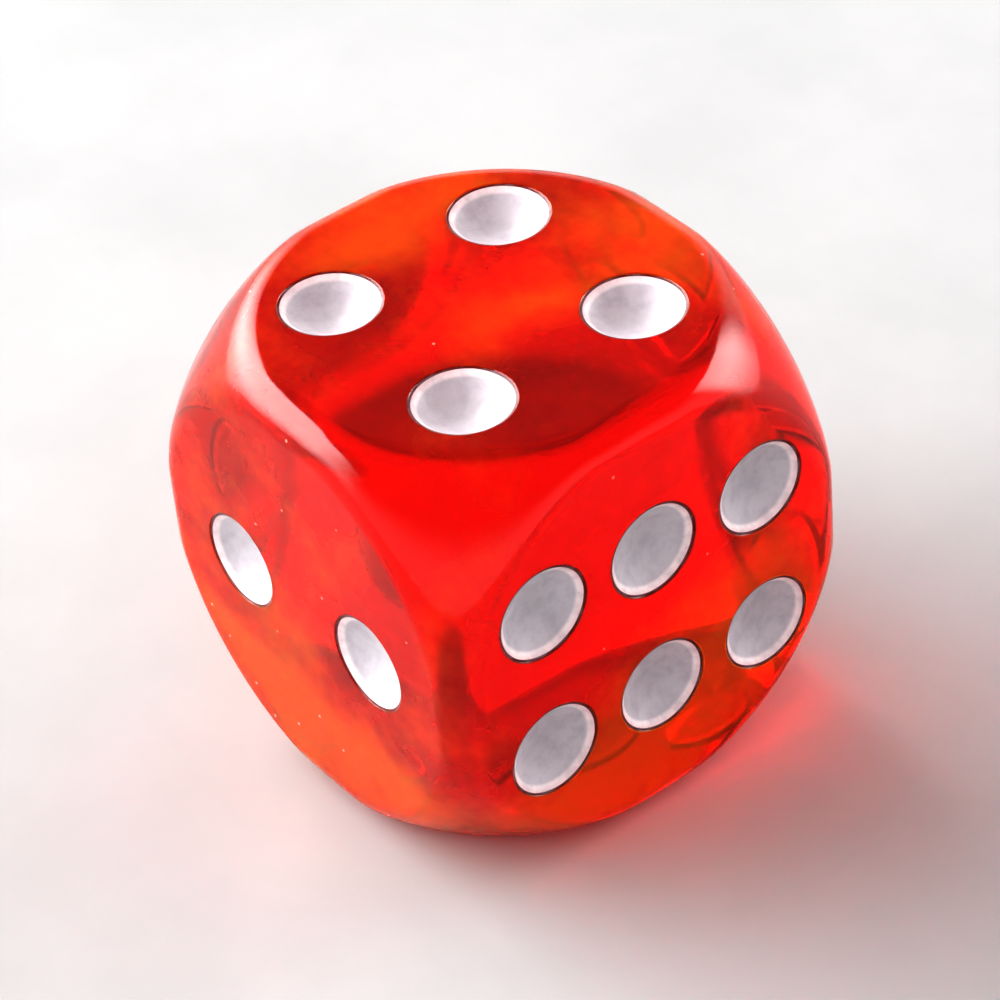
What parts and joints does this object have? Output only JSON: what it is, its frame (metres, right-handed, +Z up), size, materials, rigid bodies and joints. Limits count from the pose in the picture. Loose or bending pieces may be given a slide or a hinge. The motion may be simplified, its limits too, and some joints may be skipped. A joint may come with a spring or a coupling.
{
  "type": "gaming die",
  "caption": "Cube-shaped gaming die of translucent resin with rounded corners and edges, and a shallow painted dish for each spot.",
  "frame": {"origin": "middle of the face it rests on, the three", "axes": "+Z up to the four, +X to the six, +Y to the five"},
  "size_m": [0.016, 0.016, 0.016],
  "materials": {
    "resin": "polished",
    "paint": "satin"
  },
  "bodies": {
    "root": {"die_body": "resin", "paint_one": "paint", "paint_two_1": "paint", "paint_two_2": "paint", "paint_three_1": "paint", "paint_three_2": "paint", "paint_three_3": "paint", "paint_four_1": "paint", "paint_four_2": "paint", "paint_four_3": "paint", "paint_four_4": "paint", "paint_five_1": "paint", "paint_five_2": "paint", "paint_five_3": "paint", "paint_five_4": "paint", "paint_five_5": "paint", "paint_six_1": "paint", "paint_six_2": "paint", "paint_six_3": "paint", "paint_six_4": "paint", "paint_six_5": "paint", "paint_six_6": "paint"}
  },
  "joints": []
}
